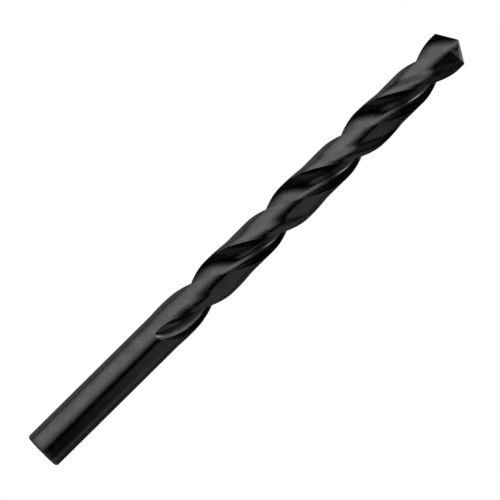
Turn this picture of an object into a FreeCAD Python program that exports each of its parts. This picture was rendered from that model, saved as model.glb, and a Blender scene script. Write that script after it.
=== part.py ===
import FreeCAD, Part
import math
import os
import Sketcher
from FreeCAD import Vector

# Straight-shank twist drill, one solid piece of high-speed steel.
# The drill stands on the flat end of its shank: the axis is Z, Z = 0 is that end and the point is up.
# It is made as the real one is: a turned blank, a point ground as two skewed cones, lands relieved
# behind a narrow margin, and two ground flutes that run out towards the shank.
# The lips lie along X at the point, and the helix is right-handed.

SIZES = {
    "overall_length": (120.65, "shank end to the point where the lips would meet"),
    "cutting_diameter": (8.73, "across the margins"),
    "shank_diameter": (8.5, "plain cylinder for the chuck"),
    "shank_chamfer": (0.35, "bevel round the shank's end"),
    "neck_start": (2.0, "end of the run-out to the foot of the neck"),
    "neck_length": (2.5, "cone between shank and cutting diameter"),
    "flute_length": (87.3, "point to the end of the run-out"),
    "helix_lead": (43.6, "advance of the flutes in one turn"),
    "flute_angle": (88.0, "degrees round the axis from leading edge to heel"),
    "heel_lean": (30.0, "degrees of the heel wall from the radius at the heel"),
    "web_at_point": (1.4, "core between the flutes at the point"),
    "web_at_shank": (1.9, "core between the flutes at the end of the run-out"),
    "run_out_length": (13.0, "stretch in which the flutes rise out of the blank"),
    "margin_width": (0.8, "full-diameter strip behind the leading edge"),
    "relief_at_point": (0.325, "depth of the land below the margin at the point"),
    "relief_at_shank": (0.225, "depth of the land below the margin at the shank end"),
    "relief_start": (6.5, "end of the run-out to where the relief breaks the surface"),
    "relief_run_in": (3.4, "length in which the relief reaches its depth"),
    "point_angle": (118.0, "degrees between the lips"),
    "lip_clearance": (1.0, "degrees that the flank falls away, square to the lip"),
    "flank_cone_angle": (45.0, "degrees, half angle of the cone that the flank is part of"),
    "flank_cone_offset": (2.8, "drill axis to the cone's apex, along the lip"),
}

SPANS_IN_A_STRETCH = 9      # flute sections in half a turn, which one cutter covers
SPANS_IN_THE_RUN_OUT = 7

doc = FreeCAD.newDocument("TwistDrill")


def fill_sheet():
    sheet = doc.addObject("Spreadsheet::Sheet", "Sizes")
    for row, (name, (size, note)) in enumerate(SIZES.items(), start=1):
        sheet.set(f"A{row}", name)
        sheet.set(f"B{row}", str(size))
        sheet.set(f"C{row}", note)
        sheet.setAlias(f"B{row}", name)
    doc.recompute()
    return sheet


sheet = fill_sheet()


def number(expression):
    result = sheet.evalExpression(expression)
    return float(getattr(result, "Value", result))


# Lengths and angles that several pieces share, as expressions on the sheet

radius = "(Sizes.cutting_diameter / 2)"
shank_radius = "(Sizes.shank_diameter / 2)"
half_web = "(Sizes.web_at_point / 2)"
half_point = "(Sizes.point_angle / 2 * 1deg)"
flute_end = "(Sizes.overall_length - Sizes.flute_length)"
bend = f"({flute_end} + Sizes.run_out_length)"

# Every cutting outline passes the blank by this much
reach = f"({radius} / 2)"
cutter_top = f"(Sizes.overall_length + {reach})"

# A lip is a straight line half a web ahead of the axis. Its outer end lies lower than its inner
# end, so the helix carries that end on by the hook angle in the section at the drill's tip.
lip_reach = f"sqrt({radius}^2 - {half_web}^2)"
hook = f"({lip_reach} / tan({half_point}) / Sizes.helix_lead * 360deg)"
edge_bearing = f"(atan2({half_web}; {lip_reach}) + {hook})"
heel_bearing = f"({edge_bearing} + Sizes.flute_angle * 1deg)"


def turn_at(height):
    return f"(({height} - Sizes.overall_length) / Sizes.helix_lead * 360deg)"


def pin_point(sketch, geometry, end, x, y):
    """Ties one end of a line or arc to the sketch's origin by two distances."""
    for kind, expression in (("DistanceX", x), ("DistanceY", y)):
        size = number(expression)
        if size < 0:
            index = sketch.addConstraint(Sketcher.Constraint(kind, geometry, end, -1, 1, -size))
            expression = f"-({expression})"
        else:
            index = sketch.addConstraint(Sketcher.Constraint(kind, -1, 1, geometry, end, size))
        sketch.setExpression(f"Constraints[{index}]", expression)


def draw_outline(sketch, corners):
    """Closed outline of straight lines whose corners are pairs of expressions."""
    places = [Vector(number(x), number(y), 0) for x, y in corners]
    for index, place in enumerate(places):
        sketch.addGeometry(Part.LineSegment(place, places[(index + 1) % len(places)]), False)
    for index, (x, y) in enumerate(corners):
        following = (index + 1) % len(corners)
        sketch.addConstraint(Sketcher.Constraint("Coincident", index, 2, following, 1))
        pin_point(sketch, index, 1, x, y)


def opposite(made, label):
    """The same cutter half a turn round the drill's axis."""
    twin = doc.addObject("App::Link", label)
    twin.LinkedObject = made
    half_turn = "placement(vector(0; 0; 0); rotation(vector(0; 0; 1); 180deg))"
    twin.setExpression("Placement", f"{half_turn} * {made.Name}.Placement")
    return twin


def pair(label, made):
    """A cutter together with its opposite one."""
    both = doc.addObject("Part::Compound", label)
    both.Links = [made, opposite(made, f"Opposite{made.Name}")]
    return both


def combine(kind, label, base, tool):
    made = doc.addObject(kind, label)
    made.Base = base
    made.Tool = tool
    return made


# Turned blank: shank with its end bevel, neck, and body at the cutting diameter

def make_blank():
    body = doc.addObject("PartDesign::Body", "Blank")
    sketch = body.newObject("Sketcher::SketchObject", "BlankProfile")
    planes = [plane for plane in body.Origin.OriginFeatures if plane.Role == "XZ_Plane"]
    sketch.AttachmentSupport = (planes[0], [""])
    sketch.MapMode = "FlatFace"
    neck_foot = f"({flute_end} + Sizes.neck_start)"
    draw_outline(sketch, (
        ("0", "0"),
        (f"{shank_radius} - Sizes.shank_chamfer", "0"),
        (shank_radius, "Sizes.shank_chamfer"),
        (shank_radius, neck_foot),
        (radius, f"{neck_foot} + Sizes.neck_length"),
        (radius, "Sizes.overall_length"),
        ("0", "Sizes.overall_length"),
    ))
    turned = body.newObject("PartDesign::Revolution", "TurnedBlank")
    turned.Profile = sketch
    turned.ReferenceAxis = (sketch, ["V_Axis"])
    turned.Angle = 360
    return body


# Land relief: a ring that leaves the body below the margins, cut off where the two margins run

def make_relief():
    sketch = doc.addObject("Sketcher::SketchObject", "ReliefProfile")
    sketch.Placement.Rotation = FreeCAD.Rotation(Vector(1, 0, 0), 90)
    start = f"({flute_end} + Sizes.relief_start)"
    bottom = f"({start} - Sizes.relief_run_in)"
    outside = f"{radius} + Sizes.relief_at_shank"
    draw_outline(sketch, (
        (outside, bottom),
        (f"{radius} - Sizes.relief_at_shank", f"{start} + Sizes.relief_run_in"),
        (f"{radius} - Sizes.relief_at_point", cutter_top),
        (outside, cutter_top),
    ))
    ring = doc.addObject("Part::Revolution", "ReliefRing")
    ring.Source = sketch
    ring.Axis = Vector(0, 0, 1)
    ring.Angle = 360
    ring.Solid = True
    strips = pair("MarginStrips", make_margin_strip(f"({bottom} - {reach})"))
    return combine("Part::Cut", "LandRelief", ring, strips)


# The margin's strip has a radial back wall, and its front reaches into the flute

def make_margin_strip(bottom):
    sketch = doc.addObject("Sketcher::SketchObject", "MarginSection")
    inner = f"{radius} - 2 * Sizes.relief_at_point"
    outer = f"{radius} + 2 * Sizes.relief_at_point"
    front = "2 * Sizes.margin_width"
    draw_outline(sketch, ((inner, "0"), (outer, "0"), (outer, front), (inner, front)))
    helix = doc.addObject("Part::Helix", "MarginHelix")
    helix.setExpression("Pitch", "Sizes.helix_lead")
    helix.setExpression("Radius", radius)
    helix.setExpression("Height", f"{cutter_top} + {reach} - {bottom}")
    helix.SegmentLength = 1
    helix.Style = 1
    strip = doc.addObject("Part::Sweep", "MarginStrip")
    strip.Sections = [sketch]
    strip.Spine = (helix, [])
    strip.Solid = True
    strip.Frenet = True
    back = f"({edge_bearing} - Sizes.margin_width / {radius} * 1rad)"
    turned = f"rotation(vector(0; 0; 1); {back} + {turn_at(bottom)})"
    strip.setExpression("Placement", f"placement(vector(0; 0; {bottom}); {turned})")
    return strip


# Flute section at the drill's tip, square to the axis: the rake face is an arc through both ends
# of the lip, which keeps the lip straight, a second arc makes the root round the web, and a
# straight wall carries it to the heel of the next land

def draw_flute_section():
    sketch = doc.addObject("Sketcher::SketchObject", "FluteSection")
    edge_x = f"{radius} * cos({edge_bearing})"
    edge_rise = f"({radius} * sin({edge_bearing}) - {half_web})"
    rake_radius = f"(({edge_x})^2 + {edge_rise}^2) / (2 * {edge_rise})"
    heel_radius = f"({radius} - Sizes.relief_at_point)"
    heel_x = f"{heel_radius} * cos({heel_bearing})"
    heel_rise = f"({heel_radius} * sin({heel_bearing}) - {half_web})"
    wall = f"({heel_bearing} - Sizes.heel_lean * 1deg)"
    root_radius = f"({heel_rise} * cos({wall}) - {heel_x} * sin({wall})) / (1 + cos({wall}))"
    wall_top = f"{radius} + {reach}"

    web, rake, root = number(half_web), number(rake_radius), number(root_radius)
    wall_angle = math.radians(number(wall))
    down = math.radians(270)
    rake_end = math.asin((number(radius) - web - rake) / rake) + 2 * math.pi
    rake_arc = Part.ArcOfCircle(Part.Circle(Vector(0, web + rake, 0), Vector(0, 0, 1), rake), down, rake_end)
    root_circle = Part.Circle(Vector(0, web + root, 0), Vector(0, 0, 1), root)
    root_arc = Part.ArcOfCircle(root_circle, wall_angle + math.pi / 2, down)
    foot = root_arc.StartPoint
    wall_length = (number(wall_top) - foot.y) / math.sin(wall_angle)
    head = foot + Vector(math.cos(wall_angle), math.sin(wall_angle), 0) * wall_length
    sketch.addGeometry(rake_arc, False)
    sketch.addGeometry(root_arc, False)
    sketch.addGeometry(Part.LineSegment(foot, head), False)
    sketch.addGeometry(Part.LineSegment(head, rake_arc.EndPoint), False)

    sketch.addConstraint([
        Sketcher.Constraint("Coincident", 0, 1, 1, 2),
        Sketcher.Constraint("PointOnObject", 0, 1, -2),
        Sketcher.Constraint("PointOnObject", 0, 3, -2),
        Sketcher.Constraint("PointOnObject", 1, 3, -2),
        Sketcher.Constraint("Tangent", 1, 1, 2, 1),
        Sketcher.Constraint("Coincident", 2, 2, 3, 1),
        Sketcher.Constraint("Coincident", 3, 2, 0, 2),
    ])
    sized = (
        (Sketcher.Constraint("DistanceY", -1, 1, 0, 1, web), half_web),
        (Sketcher.Constraint("Radius", 0, rake), rake_radius),
        (Sketcher.Constraint("Radius", 1, root), root_radius),
        (Sketcher.Constraint("Angle", -1, 1, 2, 1, wall_angle), wall),
        (Sketcher.Constraint("DistanceY", -1, 1, 2, 2, number(wall_top)), wall_top),
        (Sketcher.Constraint("DistanceY", -1, 1, 0, 2, number(radius)), radius),
    )
    for constraint, expression in sized:
        index = sketch.addConstraint(constraint)
        sketch.setExpression(f"Constraints[{index}]", expression)
    return sketch


# Flute sections from the point down, each turned with the helix and moved out from the axis.
# They move out slowly as the web thickens, and along a parabola in the run-out.

def place_stations():
    section = draw_flute_section()
    stretches = math.ceil(number(f"({cutter_top} - {bend}) / Sizes.helix_lead") * 2)
    main = stretches * SPANS_IN_A_STRETCH
    heights = [f"({cutter_top} + ({bend} - {cutter_top}) * {step / main})" for step in range(main + 1)]
    heights += [
        f"({bend} - (Sizes.run_out_length + {reach}) * {step / SPANS_IN_THE_RUN_OUT})"
        for step in range(1, SPANS_IN_THE_RUN_OUT + 1)
    ]
    thicker = "(Sizes.web_at_shank - Sizes.web_at_point) / 2 / Sizes.flute_length"
    rise = f"({shank_radius} - Sizes.web_at_shank / 2)"
    stations = []
    for index, height in enumerate(heights):
        out = f"(Sizes.overall_length - {height}) * {thicker}"
        if index > main:
            out += f" + {rise} * (({bend} - {height}) / Sizes.run_out_length)^2"
        turn = turn_at(height)
        station = doc.addObject("App::Link", f"FluteStation{index:02d}")
        station.LinkedObject = section
        place = f"vector(-({out}) * sin({turn}); ({out}) * cos({turn}); {height})"
        station.setExpression("Placement", f"placement({place}; rotation(vector(0; 0; 1); {turn}))")
        stations.append(station)
    return stations, main


# Each cutter covers half a turn and shares its end section with the next, the last is the run-out

def cut_flutes(blank):
    stations, main = place_stations()
    starts = range(0, main + 1, SPANS_IN_A_STRETCH)
    for index, start in enumerate(starts):
        cutter = doc.addObject("Part::Loft", f"FluteCutter{index}")
        cutter.Sections = stations[start:start + SPANS_IN_A_STRETCH + 1]
        cutter.Solid = True
        blank = combine("Part::Cut", f"Fluted{index}", blank, pair(f"FluteCutters{index}", cutter))
    return blank


# Grinding cone: its apex lies on the lip's own line, past the axis, and the lip is one of its
# straight generators, so the flank meets the rake face exactly along the lip

def make_flank_cone():
    cone = doc.addObject("Part::Cone", "FlankCone")
    cone.Radius1 = 0
    cone.setExpression("Height", "Sizes.overall_length * 2")
    cone.setExpression("Radius2", "Sizes.overall_length * 2 * tan(Sizes.flank_cone_angle * 1deg)")
    apex_height = f"Sizes.overall_length + Sizes.flank_cone_offset / tan({half_point})"
    apex = f"vector(-Sizes.flank_cone_offset; {half_web}; {apex_height})"
    lip = f"vector(sin({half_point}); 0; -cos({half_point}))"
    clearance = f"rotation({lip}; Sizes.lip_clearance * 1deg)"
    tip_over = f"rotation(vector(0; 1; 0); 180deg - {half_point} + Sizes.flank_cone_angle * 1deg)"
    cone.setExpression("Placement", f"placement({apex}; {clearance} * {tip_over})")
    return cone


flank_cone = make_flank_cone()
one_flank = combine("Part::Common", "OneFlank", make_blank(), flank_cone)
pointed = combine("Part::Common", "PointedBlank", one_flank, opposite(flank_cone, "OppositeFlankCone"))
relieved = combine("Part::Cut", "RelievedBlank", pointed, make_relief())
drill = cut_flutes(relieved)
drill.Label = "twist_drill"
doc.recompute()

for made in doc.Objects:
    if {"Invalid", "Error"} & set(made.State):
        raise RuntimeError(f"{made.Label}: {made.State}")
if not drill.Shape.isValid() or len(drill.Shape.Solids) != 1:
    raise RuntimeError("the drill is not one valid solid")

os.makedirs("parts", exist_ok=True)
drill.Shape.exportStep(f"parts/{drill.Label}.step")
print(f"{drill.Label}: {drill.Shape.Volume:.1f} mm3, {len(drill.Shape.Faces)} faces")
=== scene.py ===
import math
import bmesh
import bpy
from mathutils import Matrix, Vector
from mathutils.kdtree import KDTree


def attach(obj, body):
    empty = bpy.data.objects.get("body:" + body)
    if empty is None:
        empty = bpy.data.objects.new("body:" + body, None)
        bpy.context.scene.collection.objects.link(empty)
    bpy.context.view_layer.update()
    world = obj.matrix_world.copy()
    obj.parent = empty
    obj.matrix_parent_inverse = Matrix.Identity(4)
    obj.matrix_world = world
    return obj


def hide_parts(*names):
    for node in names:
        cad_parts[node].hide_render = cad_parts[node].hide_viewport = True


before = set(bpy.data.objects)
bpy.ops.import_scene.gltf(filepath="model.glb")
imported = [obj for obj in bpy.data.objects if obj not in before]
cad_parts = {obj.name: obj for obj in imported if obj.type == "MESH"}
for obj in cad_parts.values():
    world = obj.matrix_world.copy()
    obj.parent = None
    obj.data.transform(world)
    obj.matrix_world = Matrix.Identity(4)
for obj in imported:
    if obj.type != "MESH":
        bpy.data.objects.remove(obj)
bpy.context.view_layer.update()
mm = 0.001
scene = bpy.context.scene
scene.view_settings.view_transform = "Standard"


# Shaders: sums are written as plain expressions, and every other node comes from one method

class Signal:              # what a node gives out
    def __init__(self, shader, socket):
        self.shader = shader
        self.socket = socket

    def __add__(self, other):
        return self.shader.calculate("ADD", self, other)

    def __sub__(self, other):
        return self.shader.calculate("SUBTRACT", self, other)

    def __rsub__(self, other):
        return self.shader.calculate("SUBTRACT", other, self)

    def __mul__(self, other):
        return self.shader.calculate("MULTIPLY", self, other)

    __radd__ = __add__
    __rmul__ = __mul__


class Shader:
    def __init__(self, owner):
        owner.use_nodes = True
        self.tree = owner.node_tree
        self.tree.nodes.clear()

    def calculate(self, operation, *values):
        return self.node("ShaderNodeMath", {"operation": operation}, dict(enumerate(values)))

    def node(self, kind, settings=None, inputs=None, output=0):
        made = self.tree.nodes.new(kind)
        for name, value in (settings or {}).items():
            if name == "stops":
                self.setStops(made.color_ramp, value)
            else:
                setattr(made, name, value)
        for name, value in (inputs or {}).items():
            if isinstance(value, Signal):
                self.tree.links.new(value.socket, made.inputs[name])
            else:
                made.inputs[name].default_value = value
        return Signal(self, made.outputs[output]) if made.outputs else made

    def setStops(self, ramp, stops):
        while len(ramp.elements) < len(stops):
            ramp.elements.new(0.5)         # anywhere, because the loop below places it
        for element, (place, grey) in zip(ramp.elements, stops):
            element.position = place
            element.color = (grey, grey, grey, 1)


# The drill, in millimetres until it is finished: the solid's ground surfaces, on a fine even mesh. It stands
# on the shank's end with the point up

drill = {
    "length": 120.65,              # to where the two lips would meet
    "cuttingRadius": 4.365,
    "shankRadius": 4.25,
    "chamfer": 0.35,
    "fluteEnd": 33.35,             # where the run-out starts
    "neckFoot": 35.35,             # the short cone between shank and body
    "neckTop": 37.85,
    "lead": 43.45,
    "fluteAngle": math.radians(88),
    "heelLean": math.radians(30),
    "halfWeb": 0.7,
    "halfWebAtShank": 0.95,
    "runOut": 13.0,
    "margin": 0.75,
    "marginStep": 0.1,             # share of the relief that the land has right behind the margin,
    "hollow": 1.12,                # where it is lowest
    "heelRelief": 1.0,             # and at the heel
    "shoulderWidth": 2.8,          # from the margin to the lowest place
    "rise": 3.0,                   # from there up to the heel's share
    "reliefAtPoint": 0.325,
    "reliefAtShank": 0.225,
    "reliefStart": 39.85,
    "reliefRunIn": 3.4,
    "halfPoint": math.radians(59),
    "lipClearance": math.radians(1),
    "coneAngle": math.radians(45),
    "coneOffset": 2.8,             # how far past the drill's axis the grinding cone's apex lies
}
drillMesh = {
    "ringStep": 0.35,          # along the fluted body
    "shankRings": 24,
    "edgeRing": 0.5,           # how far the first and last ring of the shank keep from its ends
    "fadingRings": 14,         # closer rings where the run-out starts
    "fadingLength": 2.0,
    "overPoint": 0.6,          # stock above the point, which the two cones take off
    "pointLength": 3.6,        # the part of the bar that the cones grind
    "rakeFaces": 20,           # across each stretch of the section
    "rootAndWallFaces": 26,
    "landFaces": 24,
    "marginFaces": 4,
    "halvings": 40,            # steps to where a flute meets the outside
    "coneFaces": 360,
    "coneHeight": 200.0,
    "weld": 1e-5,              # points closer than this are one
    "jointWeld": 1e-4,         # the same where point and body are joined
    "sharpAngle": math.radians(18),
}


def turnAt(z):             # the flutes' turn, none at the point
    return (max(z, drill["fluteEnd"]) - drill["length"]) / drill["lead"] * 2 * math.pi


def mix(start, end, share):
    return start + (end - start) * share


def blankRadius(z):
    share = (z - drill["neckFoot"]) / (drill["neckTop"] - drill["neckFoot"])
    radius = mix(drill["shankRadius"], drill["cuttingRadius"], min(max(share, 0), 1))
    return min(radius, drill["shankRadius"] - drill["chamfer"] + z) if z < drill["chamfer"] else radius


def ease(share):
    share = min(max(share, 0), 1)
    return share * share * (3 - 2 * share)


def reliefShare(behindMargin):         # the land's depth as a share of the relief
    fallen = mix(drill["marginStep"], drill["hollow"], ease(behindMargin / drill["shoulderWidth"]))
    risen = ease((behindMargin - drill["shoulderWidth"]) / drill["rise"])
    return fallen - (drill["hollow"] - drill["heelRelief"]) * risen


def reliefAt(z):
    runIn = drill["reliefRunIn"]
    full = drill["reliefStart"] + runIn
    if z < full:
        relief = drill["reliefAtShank"] * (z - drill["reliefStart"]) / runIn
    else:
        share = (z - full) / (drill["length"] - full)
        relief = mix(drill["reliefAtShank"], drill["reliefAtPoint"], share)
    return max(relief - drill["cuttingRadius"] + blankRadius(z), 0)


def fluteLift(z):          # how much further out the flute lies than at the point
    bend = drill["fluteEnd"] + drill["runOut"]
    thicker = drill["halfWebAtShank"] - drill["halfWeb"]
    lift = (drill["length"] - z) / (drill["length"] - drill["fluteEnd"]) * thicker
    if z < bend:
        lift += (drill["shankRadius"] - drill["halfWebAtShank"]) * ((bend - z) / drill["runOut"]) ** 2
    return lift


def polar(radius, bearing):
    return Vector((radius * math.cos(bearing), radius * math.sin(bearing), 0))


def makeFluteLine():
    web, radius = drill["halfWeb"], drill["cuttingRadius"]
    lip = math.sqrt(radius ** 2 - web ** 2)
    edge = math.atan2(web, lip) + lip / math.tan(drill["halfPoint"]) / drill["lead"] * 2 * math.pi
    corner = polar(radius, edge)
    rake = (corner.x ** 2 + (corner.y - web) ** 2) / 2 / (corner.y - web)
    heel = polar(radius - drill["reliefAtPoint"], edge + drill["fluteAngle"])
    wall = edge + drill["fluteAngle"] - drill["heelLean"]
    root = ((heel.y - web) * math.cos(wall) - heel.x * math.sin(wall)) / (1 + math.cos(wall))
    rootSweep = math.pi - wall

    def fluteLine(along):      # from where the web is thinnest: rake face ahead, root and wall behind
        if along >= 0:
            return Vector((rake * math.sin(along / rake), web + rake - rake * math.cos(along / rake), 0))
        sweep = min(-along / root, rootSweep)
        past = max(-along - rootSweep * root, 0)
        foot = Vector((-root * math.sin(sweep), web + root - root * math.cos(sweep), 0))
        return foot + polar(past, wall)

    return fluteLine, edge


fluteLine, edgeBearing = makeFluteLine()


def reachOf(radius, lift, side):       # how far the flute's line runs before it meets the outside
    if drill["halfWeb"] + lift >= radius:
        return 0.0
    low, high = 0.0, drill["cuttingRadius"] * 2
    for halving in range(drillMesh["halvings"]):
        middle = (low + high) / 2
        if (fluteLine(middle * side) + Vector((0, lift, 0))).length < radius:
            low = middle
        else:
            high = middle
    return low * side


def sectionAt(z):          # one flute and one land, then both again half a turn on
    lift = fluteLift(max(z, drill["fluteEnd"]))
    outer, relief = blankRadius(z), reliefAt(z)
    ahead = reachOf(outer, lift, 1)
    behind = reachOf(outer - relief * drill["heelRelief"], lift, -1)
    rakeFaces, wallFaces = drillMesh["rakeFaces"], drillMesh["rootAndWallFaces"]
    landFaces, marginFaces = drillMesh["landFaces"], drillMesh["marginFaces"]
    if ahead or behind:
        shift = Vector((0, lift, 0))
        half = [fluteLine(ahead * (1 - k / rakeFaces)) + shift for k in range(rakeFaces)]
        half += [fluteLine(behind * k / wallFaces) + shift for k in range(wallFaces)]
        heel, corner = fluteLine(behind) + shift, fluteLine(ahead) + shift
        heelBearing, cornerBearing = math.atan2(heel.y, heel.x), math.atan2(corner.y, corner.x)
    else:                  # below the run-out the flute shrinks to one point of the shank
        half = [Vector((0, outer, 0))] * (rakeFaces + wallFaces)
        heelBearing = cornerBearing = math.pi / 2
    marginBack = edgeBearing + math.pi - drill["margin"] / drill["cuttingRadius"]
    for k in range(landFaces + 1):
        bearing = mix(heelBearing, marginBack, k / landFaces)
        half.append(polar(outer - relief * reliefShare((marginBack - bearing) * outer), bearing))
    marginFront = cornerBearing + math.pi
    half += [polar(outer, mix(marginBack, marginFront, k / marginFaces)) for k in range(marginFaces)]
    turned = Matrix.Rotation(turnAt(z), 3, "Z")
    section = [turned @ point for point in half]
    return section + [Vector((-point.x, -point.y, 0)) for point in section]


def ringHeights():
    start = drill["fluteEnd"]
    count, inset = drillMesh["shankRings"], drillMesh["edgeRing"]
    shank = [mix(drill["chamfer"] + inset, start - inset, k / count) for k in range(count + 1)]
    count, length = drillMesh["fadingRings"], drillMesh["fadingLength"]
    fading = [start + length * (k / count) ** 2 for k in range(count)]
    bottom, top = start + length, drill["length"] + drillMesh["overPoint"]
    count = math.ceil((top - bottom) / drillMesh["ringStep"])
    body = [mix(bottom, top, k / count) for k in range(count + 1)]
    return [0, drill["chamfer"]] + shank + fading + body


def meshObject(bm, name):
    mesh = bpy.data.meshes.new(name)
    bm.to_mesh(mesh)
    bm.free()
    made = bpy.data.objects.new(name, mesh)
    scene.collection.objects.link(made)
    return made


def fillRims(bm):
    bmesh.ops.holes_fill(bm, edges=[edge for edge in bm.edges if edge.is_boundary], sides=0)
    bmesh.ops.recalc_face_normals(bm, faces=bm.faces)


def makeFlutedBar(heights):
    sections = [[point + Vector((0, 0, z)) for point in sectionAt(z)] for z in heights]
    around, upwards = len(sections[0]), len(heights) - 1
    halfSheet = 0.5                    # a sheet one unit square is wrapped round the axis
    bm = bmesh.new()
    bmesh.ops.create_grid(bm, x_segments=around, y_segments=upwards, size=halfSheet)
    for vert in bm.verts:
        column = round((vert.co.x + halfSheet) * around) % around
        ring = round((vert.co.y + halfSheet) * upwards)
        vert.co = sections[ring][column]
    bmesh.ops.remove_doubles(bm, verts=bm.verts, dist=drillMesh["weld"])
    bmesh.ops.dissolve_degenerate(bm, edges=bm.edges, dist=drillMesh["weld"])
    return bm


def makeGrindingCone(name, turn):      # one flank is part of it, and the lip is one of its straight lines
    height = drillMesh["coneHeight"]
    bm = bmesh.new()
    bmesh.ops.create_cone(
        bm, cap_ends=True, segments=drillMesh["coneFaces"], radius1=0,
        radius2=height * math.tan(drill["coneAngle"]), depth=height)
    half = drill["halfPoint"]
    lip = Vector((math.sin(half), 0, -math.cos(half)))
    offset = drill["coneOffset"]
    apex = Vector((-offset, drill["halfWeb"], drill["length"] + offset / math.tan(half)))
    place = (
        Matrix.Rotation(turn, 4, "Z") @ Matrix.Translation(apex)
        @ Matrix.Rotation(drill["lipClearance"], 4, lip)
        @ Matrix.Rotation(math.pi - half + drill["coneAngle"], 4, "Y")
        @ Matrix.Translation((0, 0, height / 2))
    )
    bmesh.ops.transform(bm, matrix=place, verts=bm.verts)
    bmesh.ops.remove_doubles(bm, verts=bm.verts, dist=drillMesh["weld"])
    bmesh.ops.recalc_face_normals(bm, faces=bm.faces)
    return meshObject(bm, name)


def grindPoint(bar):
    cones = [makeGrindingCone(f"grindingCone{k}", k * math.pi) for k in range(2)]
    for cone in cones:
        cut = bar.modifiers.new("point", "BOOLEAN")
        cut.operation = "INTERSECT"
        cut.solver = "EXACT"
        cut.object = cone
    shown = bar.evaluated_get(bpy.context.evaluated_depsgraph_get())
    ground = bpy.data.meshes.new_from_object(shown)
    for unused in cones + [bar]:
        bpy.data.objects.remove(unused)
    return ground


def makeDrill():
    heights = ringHeights()
    split = max(z for z in heights if z < drill["length"] - drillMesh["pointLength"])
    tip = makeFlutedBar([z for z in heights if z >= split])
    fillRims(tip)
    point = grindPoint(meshObject(tip, "stock"))
    bm = makeFlutedBar([z for z in heights if z <= split])
    bm.from_mesh(point)
    weld = drillMesh["jointWeld"]
    joint = [face for face in bm.faces if all(abs(vert.co.z - split) < weld for vert in face.verts)]
    bmesh.ops.delete(bm, geom=joint, context="FACES_ONLY")
    bmesh.ops.remove_doubles(bm, verts=bm.verts, dist=weld)
    fillRims(bm)
    bmesh.ops.scale(bm, vec=(mm, mm, mm), verts=bm.verts)
    made = meshObject(bm, "groundDrill")
    made.data.polygons.foreach_set("use_smooth", [True] * len(made.data.polygons))
    made.data.set_sharp_from_angle(angle=drillMesh["sharpAngle"])
    return made


groundDrill = makeDrill()
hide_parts("twist_drill")
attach(groundDrill, "root")
print("drill made:", len(groundDrill.data.polygons), "faces")


# Black oxide over ground steel: cloudy, grained where the steel shows through, worn thin along the edges. The
# wheel's marks under it go round the drill outside and follow the flutes inside

blackOxide = {
    "dark": (0.084, 0.087, 0.089, 1),
    "light": (0.118, 0.122, 0.125, 1),
    "grain": (0.30, 0.31, 0.32, 1),
    "worn": (0.36, 0.36, 0.355, 1),
    "cloudSize": 2.2,              # sizes in mm
    "cloudDetail": 4.0,
    "detail": 2.0,                 # of the grain and the marks
    "grainSize": 0.20,
    "grainStops": [(0.60, 0), (0.72, 1)],
    "grainPatchiness": 0.5,        # how much the clouds gather it
    "grainStrength": 0.5,
    "markSpacing": 0.16,
    "markLength": 6.0,
    "markDepth": 0.0009,
    "pitDepth": 0.002,
    "insideRadius": 3.75,          # where flute ends and land begins
    "outsideRadius": 3.95,
    "wearWidth": 0.45,
    "wearStops": [(0.45, 0), (1.0, 1)],
    "wearPatchiness": 1.0,
    "wearStrength": 0.1,
    "roughness": 0.125,            # the plain oxide's, and what clouds, grain and wear add to it
    "cloudRoughness": 0.04,
    "grainRoughness": 0.16,
    "wearRoughness": 0.12,
}


def paintWear(made):       # how near each point lies to a sharp edge: 1 on it, 0 from the wear's width on
    bm = bmesh.new()
    bm.from_mesh(made.data)
    edges = [edge for edge in bm.edges if edge.calc_face_angle(0) > drillMesh["sharpAngle"]]
    tree = KDTree(len(edges) * 2)
    for edge in edges:
        for vert in edge.verts:
            tree.insert(vert.co, vert.index)
    tree.balance()
    near = []
    for vert in bm.verts:
        place, index, distance = tree.find(vert.co)
        near.append(max(1 - distance / (blackOxide["wearWidth"] * mm), 0))
    bm.free()
    made.data.attributes.new("wear", "FLOAT", "POINT").data.foreach_set("value", near)


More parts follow.
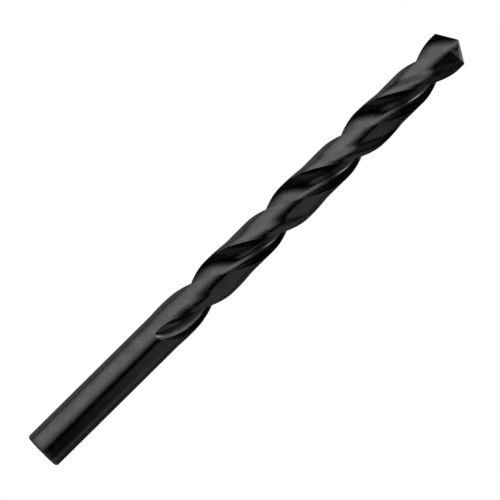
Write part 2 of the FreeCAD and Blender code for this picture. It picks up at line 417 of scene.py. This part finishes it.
def makeBlackOxide():
    material = bpy.data.materials.new("blackOxideSteel")
    shader = Shader(material)
    place = shader.node("ShaderNodeTexCoord", output="Object")
    x, y, z = [shader.node("ShaderNodeSeparateXYZ", None, {0: place}, name) for name in "XYZ"]

    def noise(at, size, detail=blackOxide["detail"]):
        return shader.node("ShaderNodeTexNoise", None, {
            "Vector": at, "Scale": 1 / (size * mm), "Detail": detail})

    def blend(share, under, over):     # by number, because a Mix node has several sockets of each name
        return shader.node("ShaderNodeMix", {"data_type": "RGBA"}, {0: share, 6: under, 7: over}, 2)

    turn = (z - drill["length"] * mm) * (2 * math.pi / (drill["lead"] * mm))
    cosine, sine = shader.calculate("COSINE", turn), shader.calculate("SINE", turn)
    squeeze = blackOxide["markSpacing"] / blackOxide["markLength"]
    followed = shader.node("ShaderNodeCombineXYZ", None, {
        0: x * cosine + y * sine, 1: y * cosine - x * sine, 2: z * squeeze})
    ringed = shader.node("ShaderNodeCombineXYZ", None, {0: x * squeeze, 1: y * squeeze, 2: z})
    radius = shader.calculate("SQRT", x * x + y * y)
    outside = shader.node("ShaderNodeMapRange", {"interpolation_type": "SMOOTHSTEP"}, {
        "Value": radius,
        "From Min": blackOxide["insideRadius"] * mm,
        "From Max": blackOxide["outsideRadius"] * mm})
    fluteMarks = noise(followed, blackOxide["markSpacing"])
    landMarks = noise(ringed, blackOxide["markSpacing"])
    marks = fluteMarks + outside * (landMarks - fluteMarks)

    clouds = noise(place, blackOxide["cloudSize"], blackOxide["cloudDetail"])

    def patches(amount):       # stays at 1 on average
        return clouds * amount + (1 - amount / 2)

    specks = noise(place, blackOxide["grainSize"]) * patches(blackOxide["grainPatchiness"])
    grain = shader.node("ShaderNodeValToRGB", {"stops": blackOxide["grainStops"]}, {0: specks})
    near = shader.node("ShaderNodeAttribute", {"attribute_name": "wear"}, None, "Fac")
    rubbed = near * patches(blackOxide["wearPatchiness"])
    wear = shader.node("ShaderNodeValToRGB", {"stops": blackOxide["wearStops"]}, {0: rubbed})

    oxide = blend(clouds, blackOxide["dark"], blackOxide["light"])
    grained = blend(grain * blackOxide["grainStrength"], oxide, blackOxide["grain"])
    tone = blend(wear * blackOxide["wearStrength"], grained, blackOxide["worn"])
    roughness = (clouds * blackOxide["cloudRoughness"] + blackOxide["roughness"]
                 + grain * blackOxide["grainRoughness"] + wear * blackOxide["wearRoughness"])
    bump = shader.node("ShaderNodeBump", None, {
        "Strength": 1.0, "Distance": mm,
        "Height": marks * blackOxide["markDepth"] - grain * blackOxide["pitDepth"]})
    surface = shader.node("ShaderNodeBsdfPrincipled", None, {
        "Base Color": tone, "Metallic": 1.0, "Roughness": roughness, "Normal": bump})
    shader.node("ShaderNodeOutputMaterial", None, {"Surface": surface})
    return material


paintWear(groundDrill)
groundDrill.data.materials.append(makeBlackOxide())
print("materials made")


# Camera: square to the axis from afar, rolled so that the drill lies across the picture as photographed

photo = {
    "size": 500,                         # pixels
    "pixelsPerMm": 4.855,
    "axisTilt": math.radians(44.67),     # the axis above the picture's horizontal
    "centreHeight": 59.63,               # place on the drill at the picture's centre
    "centreSide": 0.534,
    "aside": math.radians(-0.8),         # round the drill from the front
    "distance": 1030.0,
    "sensor": 36.0,
    "clipEnd": 20.0,                     # in metres
}


def makeCamera():
    data = bpy.data.cameras.new("camera")
    made = bpy.data.objects.new("camera", data)
    scene.collection.objects.link(made)
    tilt = photo["axisTilt"]
    right = Vector((math.sin(tilt), 0, math.cos(tilt)))
    up = Vector((-math.cos(tilt), 0, math.sin(tilt)))
    aim = Matrix((right, up, (0, -1, 0))).transposed().to_4x4()
    place = Vector((photo["centreSide"], -photo["distance"], photo["centreHeight"])) * mm
    made.matrix_world = Matrix.Rotation(photo["aside"], 4, "Z") @ Matrix.Translation(place) @ aim
    data.sensor_width = photo["sensor"]
    data.lens = photo["sensor"] * photo["distance"] * photo["pixelsPerMm"] / photo["size"]
    data.clip_end = photo["clipEnd"]
    scene.camera = made


makeCamera()


# Studio: white all round, a small pale floor, and a tent of smoked cloths that the camera doesn't see. It
# lets a share of the white through, much on the left and little on the right, which draws the bands on the
# drill. A cloth has one list of shares round the tent and one up it, to be multiplied, and the cloths add up

studio = {                    # in metres
    "light": 1.0,
    "floorRadius": 0.012,     # no wider, or it would light up the shank's end
    "floorSides": 96,
    "paper": 0.85,
    "paperGlow": 1.0,         # for the camera alone
    "tentRadius": 0.3,
    "tentSides": 192,
    "tentLow": -0.42,
    "tentTop": 0.42,
    "fullRamp": 2.0,          # the share that a ramp's white stands for
}
white = (1, 1, 1, 1)
cloths = {                    # stops at degrees from the front towards +X, then at heights in mm
    "window": (
        [(-180, 0.8), (-168, 0.5), (-156, 0.1), (-140, 0.2), (-120, 0.38), (-106, 0.21), (-98, 0.29),
         (-88, 0.70), (-74, 0.88), (-56, 1.0), (-40, 1.05), (-32, 0.94), (-24, 0.74), (-17, 0.5),
         (-11, 0.32), (-5, 0.17), (1, 0.07), (7, 0.02), (13, 0.0), (156, 0.0), (168, 0.5), (180, 0.8)],
        [(-420, 0.0), (-350, 0.08), (-270, 0.30), (-210, 0.55), (-150, 0.75), (-80, 0.97), (0, 0.97),
         (60, 0.95), (110, 1.15), (138, 1.1), (152, 0.15), (190, 0.08), (250, 0.04), (420, 0.0)],
    ),
    "corner": (
        [(-180, 0.0), (-102, 0.0), (-86, 0.45), (-48, 0.55), (-18, 0.8), (3, 0.6), (14, 0.12), (28, 0.03),
         (40, 0.0), (180, 0.0)],
        [(-420, 0.0), (140, 0.0), (154, 1.0), (176, 0.8), (200, 0.42), (240, 0.26), (270, 0.0), (420, 0.0)],
    ),
    "side": (
        [(-180, 0.0), (19, 0.0), (29, 0.25), (60, 0.25), (96, 0.25), (108, 0.13), (140, 0.08), (180, 0.10)],
        [(-420, 0.0), (-60, 0.0), (-10, 0.10), (8, 0.20), (18, 0.75), (75, 1.0), (107, 1.0), (116, 0.0),
         (142, 0.0), (150, 0.6), (164, 0.6), (172, 0.05), (180, 0.0), (420, 0.0)],
    ),
    "high side": (
        [(-180, 0.0), (34, 0.0), (54, 0.22), (84, 0.22), (108, 0.13), (140, 0.08), (180, 0.10)],
        [(-420, 0.0), (186, 0.0), (204, 0.8), (240, 0.7), (270, 0.0), (420, 0.0)],
    ),
    "upper side": (
        [(-180, 0.0), (-12, 0.0), (2, 0.6), (14, 1.0), (28, 0.8), (44, 0.5), (90, 0.4), (110, 0.0),
         (180, 0.0)],
        [(-420, 0.0), (235, 0.0), (265, 0.2), (290, 0.3), (330, 0.3), (360, 0.1), (400, 0.0), (420, 0.0)],
    ),
    "low side": (
        [(-180, 0.0), (72, 0.0), (88, 0.16), (102, 0.16), (112, 0.06), (180, 0.0)],
        [(-420, 0.0), (-80, 0.0), (-40, 1.0), (10, 1.0), (30, 0.0), (420, 0.0)],
    ),
    "edge": (
        [(-180, 0.0), (-32, 0.0), (-18, 0.35), (-8, 0.32), (2, 0.2), (9, 0.0), (180, 0.0)],
        [(-420, 0.0), (106, 0.0), (122, 1.0), (165, 1.0), (190, 0.0), (420, 0.0)],
    ),
    "back": (
        [(-180, 0.5), (-160, 0.3), (-135, 0.0), (120, 0.0), (140, 0.5), (180, 0.5)],
        [(-420, 0.0), (190, 0.0), (270, 1.0), (390, 0.9), (419, 0.0), (420, 0.0)],
    ),
    "top": (
        [(-180, 0.15), (-140, 0.3), (-60, 0.6), (-30, 0.55), (-8, 1.0), (20, 0.8), (45, 0.6), (110, 0.4),
         (140, 0.15), (180, 0.15)],
        [(-420, 0.0), (300, 0.0), (350, 0.3), (400, 0.45), (418, 0.9), (420, 1.0)],
    ),
}
lamp = {                           # a tall globe outside the tent, in metres
    "turn": math.radians(8),       # from the front towards +X
    "lift": math.radians(42),      # above the level of "aim"
    "aim": 0.08,
    "distance": 0.6,
    "radius": 0.055,
    "height": 0.16,
    "subdivisions": 3,
    "strength": 9.0,
}


def makeWorld():
    world = bpy.data.worlds.new("studio")
    scene.world = world
    shader = Shader(world)
    light = shader.node("ShaderNodeBackground", None, {"Color": white, "Strength": studio["light"]})
    shader.node("ShaderNodeOutputWorld", None, {"Surface": light})


def makeFloor():
    bm = bmesh.new()
    bmesh.ops.create_circle(bm, cap_ends=True, segments=studio["floorSides"], radius=studio["floorRadius"])
    made = meshObject(bm, "floor")
    material = bpy.data.materials.new("floorPaper")
    shader = Shader(material)
    grey = studio["paper"]
    paper = shader.node("ShaderNodeBsdfDiffuse", None, {"Color": (grey, grey, grey, 1)})
    seen = shader.node("ShaderNodeLightPath", output="Is Camera Ray")
    glow = shader.node("ShaderNodeEmission", None, {"Color": white, "Strength": seen * studio["paperGlow"]})
    both = shader.node("ShaderNodeAddShader", None, {0: paper, 1: glow})
    shader.node("ShaderNodeOutputMaterial", None, {"Surface": both})
    made.data.materials.append(material)


def makeTent():
    low, high, radius = studio["tentLow"], studio["tentTop"], studio["tentRadius"]
    bm = bmesh.new()
    bmesh.ops.create_cone(
        bm, cap_ends=True, segments=studio["tentSides"], radius1=radius, radius2=radius, depth=high - low)
    bmesh.ops.translate(bm, vec=(0, 0, (high + low) / 2), verts=bm.verts)
    made = meshObject(bm, "lightTent")
    material = bpy.data.materials.new("smokedCloth")
    shader = Shader(material)
    place = shader.node("ShaderNodeTexCoord", output="Object")
    east, north, height = [shader.node("ShaderNodeSeparateXYZ", None, {0: place}, name) for name in "XYZ"]
    around = shader.calculate("ARCTAN2", east, 0 - north) * (1 / (2 * math.pi)) + 0.5
    upwards = (height - low) * (1 / (high - low))
    full = studio["fullRamp"]
    share = 0
    for across, up in cloths.values():
        acrossStops = [(degrees / 360 + 0.5, level / full) for degrees, level in across]
        upStops = [((mark * mm - low) / (high - low), level / full) for mark, level in up]
        share += (shader.node("ShaderNodeValToRGB", {"stops": acrossStops}, {0: around})
                  * shader.node("ShaderNodeValToRGB", {"stops": upStops}, {0: upwards}) * full ** 2)
    grey = shader.node("ShaderNodeCombineXYZ", None, {0: share, 1: share, 2: share})
    cloth = shader.node("ShaderNodeBsdfTransparent", None, {"Color": grey})
    shader.node("ShaderNodeOutputMaterial", None, {"Surface": cloth})
    made.data.materials.append(material)
    made.visible_camera = False


def makeLamp():
    bm = bmesh.new()
    bmesh.ops.create_icosphere(bm, subdivisions=lamp["subdivisions"], radius=lamp["radius"])
    bmesh.ops.scale(bm, vec=(1, 1, lamp["height"] / lamp["radius"] / 2), verts=bm.verts)
    flat = math.cos(lamp["lift"]) * lamp["distance"]
    place = (0, -flat, math.sin(lamp["lift"]) * lamp["distance"] + lamp["aim"])
    bmesh.ops.translate(bm, vec=place, verts=bm.verts)
    bmesh.ops.rotate(bm, matrix=Matrix.Rotation(lamp["turn"], 3, "Z"), verts=bm.verts)
    made = meshObject(bm, "lampGlobe")
    material = bpy.data.materials.new("lampGlow")
    shader = Shader(material)
    glow = shader.node("ShaderNodeEmission", None, {"Color": white, "Strength": lamp["strength"]})
    shader.node("ShaderNodeOutputMaterial", None, {"Surface": glow})
    made.data.materials.append(material)
    made.visible_camera = False


makeWorld()
makeFloor()
makeTent()
makeLamp()
print("studio made")
